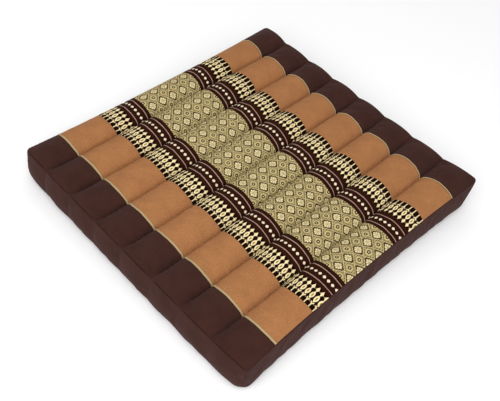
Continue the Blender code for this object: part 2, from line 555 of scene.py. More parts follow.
    def wrinkles_only(self, moved: Array, spacing: float, axis: int, cap: float) -> Array:
        """Takes the even swelling out of the simulated moves, and evens out what is left.

        Args:
            moved: How far each point of a grid has moved.
            spacing: Distance between grid points along the axis.
            axis: The axis that the wrinkles cross.
            cap: The most that a wrinkle may move a point.

        Returns:
            The moves that are kept.
        """
        swelling = smooth(moved, self.long_wave / spacing, axis)
        ripple = smooth(moved, self.short_wave / spacing, axis) - swelling
        size = np.linalg.norm(ripple, axis=-1, keepdims=True)
        kept = ripple * cap * np.tanh(size / cap) / np.maximum(size, 1e-9)
        ends = np.arange(moved.shape[axis]) * spacing
        fade = np.clip(np.minimum(ends, ends[::-1]) / self.edge_fade, 0.0, 1.0)
        return kept * (fade[:, None, None] if axis == 0 else fade[None, :, None])

    def make_lumps(self) -> None:
        """Draws the waves of uneven stuffing, the same at every run."""
        rng = np.random.default_rng(self.seed)
        shape = (self.form.tubes, self.lump_count)
        self.lump_waves = rng.uniform(*self.lump_turns, shape)
        self.lump_starts = rng.uniform(0.0, 2 * math.pi, shape)
        self.lump_sides = rng.uniform(0.0, 2 * math.pi, shape)

    def lumps(self, across: Array, line: Array) -> Array:
        """The uneven stuffing's lumps.

        Args:
            across: Place across the cushion.
            line: Cross line.

        Returns:
            How far they lift the top.
        """
        tube, share = self.form.split(across)
        waves = self.lump_waves[tube] * line[..., None] + self.lump_starts[tube]
        lean = np.cos(math.pi * share[..., None] + self.lump_sides[tube])
        return self.lump_height * (np.sin(waves) * lean).mean(-1) * 2 * self.form.arch(share)

    def on_top(self, across: Array, lines: Array) -> Array:
        """Moves of the top's points on a finer grid.

        Args:
            across: The grid's places across the cushion, one for each column.
            lines: Its cross lines, one for each row.

        Returns:
            The moves, as rows, columns and XYZ.
        """
        along = spline_weights(lines, self.lines)
        sideways = spline_weights(across, self.across)
        moves = np.einsum("rl,lcx,kc->rkx", along, self.top_wrinkles, sideways, optimize=True)
        moves[..., 2] += self.lumps(*np.meshgrid(across, lines))
        return moves

    def on_wall(self, side: Side, steps: Array, levels: Array) -> Array:
        """Moves of a wall's points on a finer grid.

        Args:
            side: The wall.
            steps: The grid's shares of the wall's length, one for each column.
            levels: Its shares of the wall's height, one for each row.

        Returns:
            The moves, as rows, columns and XYZ.
        """
        up = spline_weights(levels, self.levels)
        along = spline_weights(steps, self.wall_steps[side])
        return np.einsum("rl,lcx,kc->rkx", up, self.wall_wrinkles[side], along, optimize=True)


def quads(grid: Array) -> Array:
    """The quads of a grid of point numbers, turned so that rows up and columns right face the viewer."""
    corners = (grid[:-1, :-1], grid[:-1, 1:], grid[1:, 1:], grid[1:, :-1])
    return np.stack(corners, -1).reshape(-1, 4)


def belt(low: Array, high: Array) -> Array:
    """The quads between two closed loops of point numbers."""
    return np.stack([low, np.roll(low, -1), np.roll(high, -1), high], -1)


def outer_loop(grid: Array) -> Array:
    """The outer items of a grid, once round, starting with the first row."""
    return np.concatenate([grid[0], grid[1:, -1], grid[-1, -2::-1], grid[-2:0:-1, 0]])


def normals(points: Array) -> Array:
    """Unit normals of a surface.

    Args:
        points: Grid of its points.

    Returns:
        The normals, on the side that the grid's quads face.
    """
    along = np.gradient(points, axis=1)
    up = np.gradient(points, axis=0)
    normal = np.cross(along, up)
    return normal / np.maximum(np.linalg.norm(normal, axis=-1, keepdims=True), 1e-12)


def new_piece(name: str, points: Array, faces: list[Array], flat: Array) -> bpy.types.Object:
    """Makes a mesh object with the Cloth map.

    Args:
        name: The piece's name.
        points: Its points.
        faces: Arrays of faces, each of one corner count.
        flat: For each point, its place on the flat cloth in metres.

    Returns:
        The new object, linked to the scene.
    """
    mesh = bpy.data.meshes.new(name)
    mesh.from_pydata(points.tolist(), [], [face for group in faces for face in group.tolist()])
    corners = np.concatenate([group.reshape(-1) for group in faces])
    layer = mesh.uv_layers.new(name=CLOTH_UV)
    layer.data.foreach_set("uv", flat[corners].reshape(-1).astype(np.float32))
    mesh.shade_smooth()
    piece = bpy.data.objects.new(name, mesh)
    bpy.context.scene.collection.objects.link(piece)
    return piece


@dataclass(frozen=True)
class CutCloth:
    """Cotton cut to shape, with a real thickness and its edges rolled in, in metres."""

    thickness: float = 0.0011
    roll: float = 0.0010
    roll_steps: tuple[float, ...] = (0.0, 0.07, 0.25, 0.55, 1.0)
    rolled_share: float = 0.85

    def steps(self, length: float, step: float) -> Array:
        """Shares along a cut width: even steps, with close ones where both edges roll in.

        Args:
            length: The width.
            step: The widest step.

        Returns:
            Rising shares from 0 to 1.
        """
        edge = np.array(self.roll_steps) * min(self.roll, length / 2)
        count = max(2, int(math.ceil((length - 2 * edge[-1]) / step)) + 1)
        middle = np.linspace(edge[-1], length - edge[-1], count)
        return np.unique(np.round(np.concatenate([edge, middle, length - edge]) / length, 9))

    def drop(self, distance: Array) -> Array:
        """How far the cloth rolls in at this distance from a cut."""
        left = np.clip(self.roll - distance, 0.0, self.roll)
        return self.roll - np.sqrt(self.roll**2 - left**2)

    def shell(
        self, name: str, surface: Array, normal: Array, from_cuts: tuple[Array, Array], flat: Array
    ) -> bpy.types.Object:
        """Makes the sheet as a thin solid, closed round its cut edge.

        Args:
            name: The piece's name.
            surface: Grid of points of the face that shows, before its edges roll in.
            normal: Its unit normals.
            from_cuts: Distances to the nearest cut in each of the grid's two directions.
            flat: For each grid point, its place on the flat cloth.

        Returns:
            The new object.
        """
        depth = np.maximum(*(self.drop(distance) for distance in from_cuts))
        outer = surface - normal * np.minimum(depth, self.thickness * self.rolled_share)[..., None]
        inner = surface - normal * self.thickness
        grid = np.arange(outer[..., 0].size).reshape(outer.shape[:2])
        hidden = grid + grid.size
        faces = [quads(grid), quads(hidden)[:, ::-1], belt(outer_loop(hidden), outer_loop(grid))]
        points = np.concatenate([outer.reshape(-1, 3), inner.reshape(-1, 3)])
        return new_piece(name, points, faces, np.concatenate([flat.reshape(-1, 2)] * 2))


class Signal:
    """One number that varies over a cloth, built from shader nodes with plain arithmetic."""

    def __init__(self, tree: bpy.types.NodeTree, socket: bpy.types.NodeSocket) -> None:
        """Wraps a socket of a material's node tree."""
        self.tree = tree
        self.socket = socket

    def math(self, operation: str, *others: "Signal | float", clamp: bool = False) -> "Signal":
        """One step of shader arithmetic.

        Args:
            operation: Name of Blender's math operation.
            others: The other operands.
            clamp: Whether the result is kept from 0 to 1.

        Returns:
            The result.
        """
        node = self.tree.nodes.new("ShaderNodeMath")
        node.operation = operation
        node.use_clamp = clamp
        for socket, operand in zip(node.inputs, (self, *others)):
            if isinstance(operand, Signal):
                self.tree.links.new(operand.socket, socket)
            else:
                socket.default_value = operand
        return Signal(self.tree, node.outputs[0])

    def __add__(self, other: "Signal | float") -> "Signal":
        """The sum."""
        return self.math("ADD", other)

    def __sub__(self, other: "Signal | float") -> "Signal":
        """The difference."""
        return self.math("SUBTRACT", other)

    def __mul__(self, other: "Signal | float") -> "Signal":
        """The product."""
        return self.math("MULTIPLY", other)

    def __abs__(self) -> "Signal":
        """The size without the sign."""
        return self.math("ABSOLUTE")

    def below(self, edge: "Signal | float", soft: float) -> "Signal":
        """1 below an edge and 0 above it, with a soft step between."""
        return ((self * -1.0 + edge) * (1 / soft)).math("ADD", 0.5, clamp=True)

    def beyond(self, edge: "Signal | float", soft: float) -> "Signal":
        """1 above an edge and 0 below it, with a soft step between."""
        return ((self - edge) * (1 / soft)).math("ADD", 0.5, clamp=True)

    def nearest(self, period: float) -> "Signal":
        """Distance to the nearest multiple of a period."""
        return self.math("PINGPONG", period / 2)

    def stepped(self, step: float) -> "Signal":
        """The middle of the thread that this place falls in."""
        return (self * (1 / step)).math("FLOOR") * step + step / 2

    def wave(self, period: float) -> "Signal":
        """A wave of this period that rises through 0 at 0."""
        return (self * (2 * math.pi / period)).math("SINE")

    def crests(self, period: float) -> "Signal":
        """A wave of this period with a crest at 0."""
        return (self * (2 * math.pi / period)).math("COSINE")

    def spokes(self, beside: "Signal", count: int) -> "Signal":
        """A wave that goes this many times round the middle of two distances at right angles."""
        return (self.math("ARCTAN2", beside) * float(count)).math("COSINE")

    def either(self, other: "Signal") -> "Signal":
        """The larger of two masks."""
        return self.math("MAXIMUM", other)

    def from_middle(self, beside: "Signal") -> "Signal":
        """Distance from the middle, from two distances at right angles."""
        return (self * self + beside * beside).math("SQRT")

    def diamond_reach(self, beside: "Signal") -> "Signal":
        """Half the width of the rounded diamond about the middle on which this place lies."""
        return (self.from_middle(beside) + self + beside) * 0.5


class Dye:
    """A colour that varies over a cloth, built by laying colours over each other."""

    def __init__(self, tree: bpy.types.NodeTree, colour: Colour) -> None:
        """Starts with one plain colour.

        Args:
            tree: The material's node tree.
            colour: The colour.
        """
        self.tree = tree
        self.plain = colour
        self.socket: bpy.types.NodeSocket | None = None

    def lay(self, colour: Colour, mask: Signal) -> None:
        """Lays a colour over what is there.

        Args:
            colour: The colour.
            mask: How far it covers, from 0 to 1.
        """
        node = self.tree.nodes.new("ShaderNodeMix")
        node.data_type = "RGBA"
        base, over = [socket for socket in node.inputs if socket.name in "AB" and socket.type == "RGBA"]
        self.put_on(base, (*self.plain, 1))
        over.default_value = (*colour, 1)
        self.tree.links.new(mask.socket, node.inputs[0])
        self.socket = next(socket for socket in node.outputs if socket.type == "RGBA")

    def shade(self, tone: Signal) -> None:
        """Makes the colour lighter and darker.

        Args:
            tone: What it is multiplied by, about 1.
        """
        node = self.tree.nodes.new("ShaderNodeVectorMath")
        node.operation = "SCALE"
        self.put_on(node.inputs[0], self.plain)
        self.tree.links.new(tone.socket, node.inputs["Scale"])
        self.socket = node.outputs[0]

    def put_on(self, target: bpy.types.NodeSocket, plain: tuple[float, ...]) -> None:
        """Gives the colour so far to a socket.

        Args:
            target: The socket.
            plain: The plain colour in the socket's own form, for when nothing lies over it yet.
        """
        if self.socket is None:
            target.default_value = plain
        else:
            self.tree.links.new(self.socket, target)


@dataclass(frozen=True)
class Stripe:
    """Where a value counts as thread: near its middle, with a soft edge, and how strongly."""

    middle: float
    half: float
    soft: float
    strength: float = 1.0

    def over(self, value: Signal) -> Signal:
        """The stripe's mask, from 0 to its strength."""
        mask = abs(value - self.middle).below(self.half, self.soft)
        return mask if self.strength == 1.0 else mask * self.strength


@dataclass(frozen=True)
class Motif:
    """A small upright form: its middle along the cloth, half its width, half its height and its soft edge."""

    middle: float
    wide: float
    tall: float
    soft: float

    def diamond(self, beside: Signal, out: Signal) -> Signal:
        """Its mask as a diamond with straight sides."""
        return (beside * (1 / self.wide) + abs(out - self.middle) * (1 / self.tall)).below(1.0, self.soft)

    def lens(self, beside: Signal, out: Signal) -> Signal:
        """Its mask as a lens with round sides and pointed ends."""
        part = (out - self.middle) * (1 / self.tall)
        return (beside * (1 / self.wide) + part * part).below(1.0, self.soft)


@dataclass(frozen=True)
class Finish:
    """What all cloths share: a woven surface whose threads lie along the Cloth map.

    Its thread, patches and flecks are in millimetres, and its relief is in metres. `uneven`, `mottle` and
    `grain` say how much slubs, patches and flecks change the colour, and `weave_shade` how much painted shade
    darkens the low points of the weave.
    """

    name: str
    slot: str
    roughness: float = 0.9
    sheen: float = 0.03
    gloss: float = 0.05
    sheen_tint: Colour = (1.0, 1.0, 1.0)
    sheen_roughness: float = 0.5
    relief: float = 0.00010
    thread: float = 0.55
    patch: float = 26.0
    fleck: float = 1.8
    uneven: float = 0.18
    mottle: float = 0.16
    grain: float = 0.35
    weave_shade: float = 0.10

    def material(self) -> bpy.types.Material:
        """Makes the material, or gives the one that is there.

        Returns:
            The material.
        """
        made = bpy.data.materials.get(self.name)
        if made:
            return made
        made = bpy.data.materials.new(self.name)
        made.use_nodes = True
        tree = made.node_tree
        shader = tree.nodes["Principled BSDF"]
        shader.inputs["Roughness"].default_value = self.roughness
        shader.inputs["Sheen Weight"].default_value = self.sheen
        shader.inputs["Sheen Roughness"].default_value = self.sheen_roughness
        shader.inputs["Sheen Tint"].default_value = (*self.sheen_tint, 1)
        shader.inputs["Specular IOR Level"].default_value = self.gloss
        place = tree.nodes.new("ShaderNodeUVMap")
        place.uv_map = CLOTH_UV
        parts = tree.nodes.new("ShaderNodeSeparateXYZ")
        tree.links.new(place.outputs[0], parts.inputs[0])
        across, along = (Signal(tree, socket) * (1 / MM) for socket in parts.outputs[:2])
        dye, height = self.weave(across, along)
        tree.links.new(dye.socket, shader.inputs["Base Color"])
        bump = tree.nodes.new("ShaderNodeBump")
        bump.inputs["Strength"].default_value = 1.0
        bump.inputs["Distance"].default_value = self.relief
        tree.links.new(height.socket, bump.inputs["Height"])
        tree.links.new(bump.outputs[0], shader.inputs["Normal"])
        return made

    def weave(self, across: Signal, along: Signal) -> tuple[Dye, Signal]:
        """Builds the cloth's colour and the height of its threads.

        Args:
            across: Place across the cloth, in millimetres.
            along: Place along the cloth, in millimetres.

        Returns:
            The colour, and the height in shares of the relief.
        """
        raise NotImplementedError

    def cloud(self, across: Signal, along: Signal, size: tuple[float, float], detail: float = 2.0) -> Signal:
        """Soft noise over the cloth.

        Args:
            across: Place across the cloth.
            along: Place along the cloth.
            size: Size of its blots in both directions.
            detail: How much finer noise lies over them.

        Returns:
            The noise, about 0.
        """
        tree = across.tree
        joined = tree.nodes.new("ShaderNodeCombineXYZ")
        for place, length, socket in zip((across, along), size, joined.inputs):
            tree.links.new((place * (1 / length)).socket, socket)
        noise = tree.nodes.new("ShaderNodeTexNoise")
        noise.noise_dimensions = "2D"
        noise.inputs["Scale"].default_value = 1.0
        noise.inputs["Detail"].default_value = detail
        tree.links.new(joined.outputs[0], noise.inputs["Vector"])
        return Signal(tree, noise.outputs[0]) - 0.5

    def crossing(self, across: Signal, along: Signal) -> Signal:
        """Height of a plain weave, where each thread goes over one and under the next."""
        return across.wave(2 * self.thread) * along.wave(2 * self.thread) * 0.5 + 0.5

    def tone(self, across: Signal, along: Signal, slubs: Signal, flecks: Signal, height: Signal) -> Signal:
        """How the dye varies from thread to thread and from patch to patch, with painted shade between the
        threads.

        Args:
            across: Place across the cloth.
            along: Place along the cloth.
            slubs: Noise of the threads' thick and thin lengths.
            flecks: Noise of single knots.
            height: Height of the threads, whose low points get painted shade.

        Returns:
            The tone, about 1.
        """
        patches = self.cloud(across, along, (self.patch, self.patch), detail=3.0)
        tone = slubs * self.uneven + patches * self.mottle + flecks * self.grain
        # painted shade: weave_shade darkens the colour where the threads' height is low
        return tone + (height - 0.5) * self.weave_shade + 1.0


@dataclass(frozen=True)
class PlainCotton(Finish):
    """Plain woven cotton with uneven threads and soft mottling. Its slubs are in millimetres."""

    colour: Colour = field(kw_only=True)
    slubs: tuple[float, float] = (14.0, 17.0)
    slub_height: float = 0.6

    def weave(self, across: Signal, along: Signal) -> tuple[Dye, Signal]:
        """Builds the cotton's colour and the height of its threads.

        Args:
            across: Place across the cloth, in millimetres.
            along: Place along the cloth, in millimetres.

        Returns:
            The colour, and the height in shares of the relief.
        """
        slubs = self.cloud(across, along, (self.thread, self.slubs[0]))
        slubs = slubs + self.cloud(across, along, (self.slubs[1], self.thread))
        flecks = self.cloud(across, along, (self.fleck, self.fleck))
        height = self.crossing(across, along)
        dye = Dye(across.tree, self.colour)
        dye.shade(self.tone(across, along, slubs, flecks, height))
        return dye, height + slubs * self.slub_height


@dataclass(frozen=True)
class Lattice:
    """The brocade's middle field: rosettes in a diamond lattice of cream lines, and small rings between them.

    Sizes are in millimetres, but the lines' stripes are in shares of the way from a rosette to the line about
    it, a rosette's are in shares of its half width, and a wave's lie about its crest, 1, or its trough, -1.
    """

    column: float = 3 * REPEAT
    row: float = 20.9
    speck: float = 2.1
    specks: Stripe = Stripe(1.0, 0.65, 0.3, 0.35)
    line: Stripe = Stripe(1.0, 0.05, 0.05, 0.6)
    line_sides: tuple[Stripe, Stripe] = (Stripe(0.87, 0.07, 0.05), Stripe(1.13, 0.07, 0.05))
    dash: float = 2.7
    dashes: Stripe = Stripe(1.0, 1.5, 0.5)
    rose: tuple[float, float] = (6.2, 5.8)
    petals: int = 8
    petal_reach: float = 0.05
    petal_soft: float = 0.08
    petal_outline: Stripe = Stripe(0.18, 0.18, 0.14, 0.9)
    petal_gaps: Stripe = Stripe(-1.0, 0.7, 0.5)
    gap_reach: Stripe = Stripe(0.66, 0.24, 0.1, 0.85)
    rose_middle: Stripe = Stripe(0.0, 0.42, 0.14, 0.6)
    tip_x: Stripe = Stripe(7.0, 1.5, 0.5)
    tip_y: Stripe = Stripe(0.0, 2.8, 1.0)
    ray_count: int = 16
    ray_gaps: Stripe = Stripe(1.0, 1.1, 0.4)
    rays: Stripe = Stripe(6.2, 0.8, 0.5, 0.55)
    halo: Stripe = Stripe(3.9, 0.9, 0.5)
    halo_tint: float = 0.35
    ring: Stripe = Stripe(2.0, 0.95, 0.5, 0.95)
    ring_middle: Stripe = Stripe(0.0, 0.9, 0.5, 0.8)
    cream: Colour = (0.76, 0.64, 0.375)
    outline: Colour = (0.040, 0.022, 0.005)
    olive: Colour = OLIVE

    def draw(self, dye: Dye, x: Signal, y: Signal) -> Signal:
        """Draws the field.

        Args:
            dye: The cloth's colour so far.
            x: Place across the cloth from a rosette.
            y: Place along the cloth from a rosette.

        Returns:
            Where its threads are raised.
        """
        rose_x, rose_y = x.nearest(self.column), y.nearest(self.row)
        ring_x, ring_y = rose_x * -1.0 + self.column / 2, rose_y * -1.0 + self.row / 2
        from_ring = ring_x.from_middle(ring_y)
        dye.lay(self.outline, self.specks.over(x.wave(self.speck) * y.wave(self.speck)))
        gaps = self.ray_gaps.over(ring_y.spokes(ring_x, self.ray_count))
        dye.lay(self.outline, self.rays.over(from_ring) * gaps)
        self.draw_lines(dye, rose_x, rose_y)
        flower = self.draw_rose(dye, rose_x, rose_y)
        halo = self.halo.over(from_ring)
        dye.lay(self.cream, halo * self.halo_tint)
        dye.lay(self.outline, self.ring.over(from_ring))
        dye.lay(self.cream, self.ring_middle.over(from_ring))
        return flower.either(halo)

    def draw_lines(self, dye: Dye, rose_x: Signal, rose_y: Signal) -> None:
        """Draws the diamonds' cream lines between two dashed dark ones.

        Args:
            dye: The cloth's colour so far.
            rose_x: Distance across the cloth from the nearest rosette.
            rose_y: Distance along the cloth from it.
        """
        part = rose_x * (2 / self.column) + rose_y * (2 / self.row)
        dashes = self.dashes.over(rose_x.crests(self.dash))
        dye.lay(self.outline, self.line_sides[0].over(part) * dashes)
        dye.lay(self.cream, self.line.over(part))
        dye.lay(self.outline, self.line_sides[1].over(part) * dashes)

    def draw_rose(self, dye: Dye, rose_x: Signal, rose_y: Signal) -> Signal:
        """Draws the eight-petalled rosettes.

        Args:
            dye: The cloth's colour so far.
            rose_x: Distance across the cloth from the nearest rosette.
            rose_y: Distance along the cloth from it.

        Returns:
            Where the petals are.
        """
        part_x, part_y = rose_x * (1 / self.rose[0]), rose_y * (1 / self.rose[1])
        petals = part_y.spokes(part_x, self.petals)
        rose = part_x.diamond_reach(part_y)
        past = rose - (petals * self.petal_reach + 1.0)
        dye.lay(self.outline, self.petal_outline.over(past))
        dye.lay(self.outline, self.tip_x.over(rose_x) * self.tip_y.over(rose_y))
        flower = past.below(0.0, self.petal_soft)
        dye.lay(self.cream, flower)
        dye.lay(self.olive, self.petal_gaps.over(petals) * self.gap_reach.over(rose))
        dye.lay(self.olive, self.rose_middle.over(rose))
        return flower


@dataclass(frozen=True)
class Borders:
    """The brocade's dark borders, each with two fine lines and a row of dots, in millimetres."""

    start: float = 53.2
    soft: float = 0.3
    lines: tuple[Stripe, Stripe] = (Stripe(60.4, 0.65, 0.4), Stripe(80.6, 0.65, 0.4))
    line_height: float = 0.5
    dots: float = 70.6
    dot_size: Stripe = Stripe(0.0, 2.55, 0.5)
    ground: Colour = (0.023, 0.0058, 0.0027)
    line: Colour = (0.41, 0.26, 0.205)
    dot: Colour = (0.83, 0.68, 0.49)

    def draw(self, dye: Dye, beside: Signal, out: Signal) -> Signal:
        """Draws the borders.

        Args:
            dye: The cloth's colour so far.
            beside: Distance across the cloth from the nearest dot.
            out: Distance along the cloth from the pattern's middle line.

        Returns:
            Where their threads are raised.
        """
        dye.lay(self.ground, out.beyond(self.start, self.soft))
        lines = self.lines[0].over(out).either(self.lines[1].over(out))
        dye.lay(self.line, lines)
        dots = self.dot_size.over(beside.diamond_reach(abs(out - self.dots)))
        dye.lay(self.dot, dots)
        return lines * self.line_height + dots


@dataclass(frozen=True)
class Spindles:
    """The outer borders' rows of upright spindles: a diamond, an eye and a forked stem, in millimetres."""

    start: float = 88.8
    soft: float = 0.3
    links: tuple[Stripe, Stripe] = (Stripe(94.3, 0.4, 0.3, 0.3), Stripe(113.4, 0.4, 0.3, 0.3))
    diamond: Motif = Motif(93.6, 2.6, 5.0, 0.12)
    eye: Motif = Motif(104.6, 2.95, 6.8, 0.14)
    slit: Motif = Motif(104.6, 1.0, 3.4, 0.4)
    fork: Stripe = Stripe(0.0, 0.9, 0.4)
    fork_root: float = 115.4
    fork_slope: float = 0.5
    fork_span: Stripe = Stripe(113.9, 2.6, 0.4)
    stem: Stripe = Stripe(0.0, 0.68, 0.4)
    stem_start: float = 113.4
    stem_soft: float = 0.5
    ground: Colour = (0.0075, 0.0018, 0.0006)
    cream: Colour = (0.83, 0.67, 0.375)
    olive: Colour = OLIVE

    def draw(self, dye: Dye, beside: Signal, out: Signal) -> Signal:
        """Draws the spindles.

        Args:
            dye: The cloth's colour so far.
            beside: Distance across the cloth from the nearest spindle.
            out: Distance along the cloth from the spindles' middle line.

        Returns:
            Where their threads are raised.
        """
        inside = out.beyond(self.start, self.soft)
        dye.lay(self.ground, inside)
        links = self.links[0].over(out).either(self.links[1].over(out))
        dye.lay(self.cream, links * inside)
        fork = self.fork.over(beside + (out - self.fork_root) * self.fork_slope) * self.fork_span.over(out)
        stem = self.stem.over(beside) * out.beyond(self.stem_start, self.stem_soft)
        body = self.diamond.diamond(beside, out).either(self.eye.lens(beside, out))
        spindle = body.either(fork).either(stem)
        dye.lay(self.cream, spindle)
        dye.lay(self.olive, self.slit.lens(beside, out))
        return spindle


@dataclass(frozen=True)
class Brocade(Finish):
    """Woven panel cloth, whose pattern goes in steps of one thread.

    `start` is where the pattern begins across and along the cloth, in millimetres from the cloth's middle,
    and `spindle_shift` is how far the spindles' middle line lies beyond that.
    """

    relief: float = 0.00016
    thread: float = 0.42
    patch: float = 30.0
    fleck: float = 2.2
    uneven: float = 0.35
    mottle: float = 0.15
    grain: float = 0.6
    weave_shade: float = 0.15
    slub: float = 9.0
    slub_height: float = 0.3
    thread_height: float = 0.5
    start: tuple[float, float] = (29.6, -2.8)
    spindle_shift: float = 1.0
    ground: Colour = (0.445, 0.345, 0.145)
    lattice: Lattice = Lattice()
    borders: Borders = Borders()
    spindles: Spindles = Spindles()

    def weave(self, across: Signal, along: Signal) -> tuple[Dye, Signal]:
        """Builds the pattern and the height of its threads.

        Args:
            across: Place across the cloth, in millimetres.
            along: Place along the cloth, in millimetres.

        Returns:
            The colour, and the height in shares of the relief.
        """
        x = (across - self.start[0]).stepped(self.thread)
        y = (along - self.start[1]).stepped(self.thread)
        beside = x.nearest(REPEAT)
        dye = Dye(across.tree, self.ground)
        raised = self.lattice.draw(dye, x, y)
        raised = raised.either(self.borders.draw(dye, beside, abs(y)))
        raised = raised.either(self.spindles.draw(dye, beside, abs(y - self.spindle_shift)))
        height = self.crossing(across, along)
        slubs = self.cloud(across, along, (self.thread, self.slub))
        flecks = self.cloud(x, y, (self.fleck, self.fleck), detail=1.0)
        dye.shade(self.tone(across, along, slubs, flecks, height))
        return dye, height * self.thread_height + slubs * self.slub_height + raised


BROWN = PlainCotton(
    "woven_brown",
    "brown_cotton",
    colour=(0.0425, 0.0162, 0.0120),
    sheen=0.06,
    sheen_tint=(0.85, 0.66, 0.70),
    uneven=0.35,
    mottle=0.45,
    grain=0.5,
)
TAN = PlainCotton(
    "woven_tan", "tan_cotton", colour=(0.336, 0.146, 0.0565), uneven=0.3, mottle=0.26, grain=0.55
)
GOLD = PlainCotton(
    "woven_gold", "gold_cotton", colour=(0.395, 0.285, 0.145), roughness=0.7, gloss=0.15, thread=0.35
)
THREAD = PlainCotton(
    "brown_thread", "brown_cotton", colour=(0.10, 0.045, 0.024), roughness=0.75, thread=0.3, mottle=0.1
)
BROCADE = Brocade(
    "woven_brocade", "brocade", roughness=0.75, gloss=0.02, sheen=0.02, sheen_tint=(1.0, 0.75, 0.45)
)


def dress(piece: bpy.types.Object, finish: Finish, replaced: str | None = None) -> None:
    """Gives a piece its finish and its body, and hides the frame's node that it stands for.

    Args:
        piece: The piece.
        finish: Its cloth or thread.
        replaced: The solid's node, where the piece stands for one.
    """
    piece.data.materials.append(finish.material())
    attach(piece, "root")
    if replaced:
        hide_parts(replaced)


@dataclass
class TopSheet:
    """One cloth of the top, laid over the tubes between two cross lines."""

    form: CushionForm
    puffing: Puffing
    name: str
    finish: Finish
    first: float
    last: float
    cloth: CutCloth = CutCloth()
    cloth_height: float = 0.0021
    tube_steps: int = 34
    line_step: float = 0.0020
    beside_rim: tuple[float, ...] = (0.001, 0.0045, 0.010, 0.018)
    beside_seam: tuple[float, ...] = (0.006, 0.012, 0.020)

    def build(self, trims: list[bpy.types.Object] | None = None, is_trim: bool = False) -> bpy.types.Object:
        """Builds and dresses the sheet.

        Args:
            trims: Narrow pieces that are sewn to its edge; not used.
            is_trim: Whether it is itself such a narrow piece; not used.

        Returns:
            The finished piece.
        """
        across = self.places()
        lines = blend(self.first, self.last, self.cloth.steps(self.last - self.first, self.line_step))
        places, cross = np.meshgrid(across, lines)
        surface = self.form.top(places, cross, self.cloth_height) + self.puffing.on_top(across, lines)
        width = self.arc(across)
        from_rim = np.minimum(width - width[0], width[-1] - width)[None, :]
        from_cut = np.minimum(cross - self.first, self.last - cross)
        flat = np.stack(np.meshgrid(width, lines), -1)
        piece = self.cloth.shell(f"sewn_{self.name}", surface, normals(surface), (from_rim, from_cut), flat)
        dress(piece, self.finish, self.name)
        return piece

    def places(self) -> Array:
        """Places across the cushion: even steps, with close ones at both rims and beside the seams.

        Returns:
            The places, in rising order.
        """
        even = self.form.even_places(self.tube_steps)
        rim, seam = np.array(self.beside_rim), np.array(self.beside_seam)
        seams = np.arange(1, self.form.tubes)[:, None] + np.concatenate([-seam, seam])
        return np.unique(np.concatenate([even, rim, self.form.tubes - rim, seams.reshape(-1)]))

    def arc(self, across: Array) -> Array:
        """Length of cloth from the middle seam, along the middle cross line.

        Args:
            across: The places to reach, in rising order.

        Returns:
            The length to each, negative to the left.
        """
        line = self.form.top(across, np.zeros_like(across))
        length = np.concatenate([[0.0], np.cumsum(np.linalg.norm(np.diff(line, axis=0), axis=-1))])
        for seam, taken in enumerate(self.form.seam_take, 1):
            length = length + taken * (0.5 + 0.5 * np.sign(across - seam))
        return length - np.interp(self.form.tubes / 2, across, length)


@dataclass
class SideBand:
    """One length of the side band, between the rim and the base seam.

    `upper_edge` is where its upper edge lies, as a share of the wall's height. `end_fullness` is how much
    longer the cloth is than an end wall, because it goes in and out round the tubes' ends.
    """

    form: CushionForm
    puffing: Puffing
    side: Side
    cloth: CutCloth = CutCloth()
    gap: float = 0.0005
    corner_gap: float = 0.0002
    upper_edge: float = 1.010
    end_fullness: float = 1.1
    step: float = 0.0025
    level_step: float = 0.0020

    def build(self) -> bpy.types.Object:
        """Builds and dresses the band.

        Returns:
            The finished piece.
        """
        form = self.form
        length = 2 * (form.rim_x * self.end_fullness if self.side.closes_tubes else form.end_y)
        tall = form.valley_z
        steps = self.cloth.steps(length, self.step)
        trimmed = blend(self.corner_gap / length, 1 - self.corner_gap / length, steps)
        levels = self.cloth.steps(tall, self.level_step)
        step, height = np.meshgrid(trimmed, levels)
        wall = form.wall(*form.route(self.side, step), height * self.upper_edge)
        wall = wall + self.puffing.on_wall(self.side, trimmed, levels)
        normal = normals(wall)
        surface = wall + normal * (self.gap + self.cloth.thickness)
        from_corner = np.minimum(step, 1 - step) * length
        from_seam = np.minimum(height, 1 - height) * tall
        flat = np.stack([step * length, height * tall], -1)
        name = f"side_band_{self.side.value}"
        piece = self.cloth.shell(f"sewn_{name}", surface, normal, (from_corner, from_seam), flat)
        dress(piece, BROWN, name)
        return piece


@dataclass
class Pillow:
    """The stuffed pillow under the cover, with its base cloth and the grooves of the channels."""

    form: CushionForm
    puffing: Puffing
    tube_steps: int = 16
    line_count: int = 129
    wall_levels: int = 12
    under_cover: float = -0.0003
    fill: float = 0.85

    def build(self) -> bpy.types.Object:
        """Builds and dresses the pillow.

        Returns:
            The finished piece.
        """
        across, lines = self.form.even_places(self.tube_steps), self.form.even_lines(self.line_count)
        places, cross = np.meshgrid(across, lines)
        top = self.form.top(places, cross, self.under_cover) + self.puffing.on_top(across, lines)
        lower = np.arange(places.size).reshape(places.shape)
        upper = lower + lower.size
        points = [self.form.base(places, cross).reshape(-1, 3), top.reshape(-1, 3)]
        rim_places, rim_lines = outer_loop(places), outer_loop(cross)
        loops = [outer_loop(lower)]
        count = 2 * lower.size
        for height in np.linspace(0.0, 1.0, self.wall_levels + 1)[1:-1]:
            points.append(self.form.wall(rim_places, rim_lines, np.full(rim_lines.shape, height)))
            loops.append(np.arange(count, count + len(rim_lines)))
            count += len(rim_lines)
        loops.append(outer_loop(upper))
        faces = [quads(lower)[:, ::-1], quads(upper), *map(belt, loops, loops[1:])]
        joined = np.concatenate(points)
        pillow = new_piece(PILLOW, joined, faces, joined[:, :2])
        dress(pillow, BROWN, "cushion_body")
        return pillow


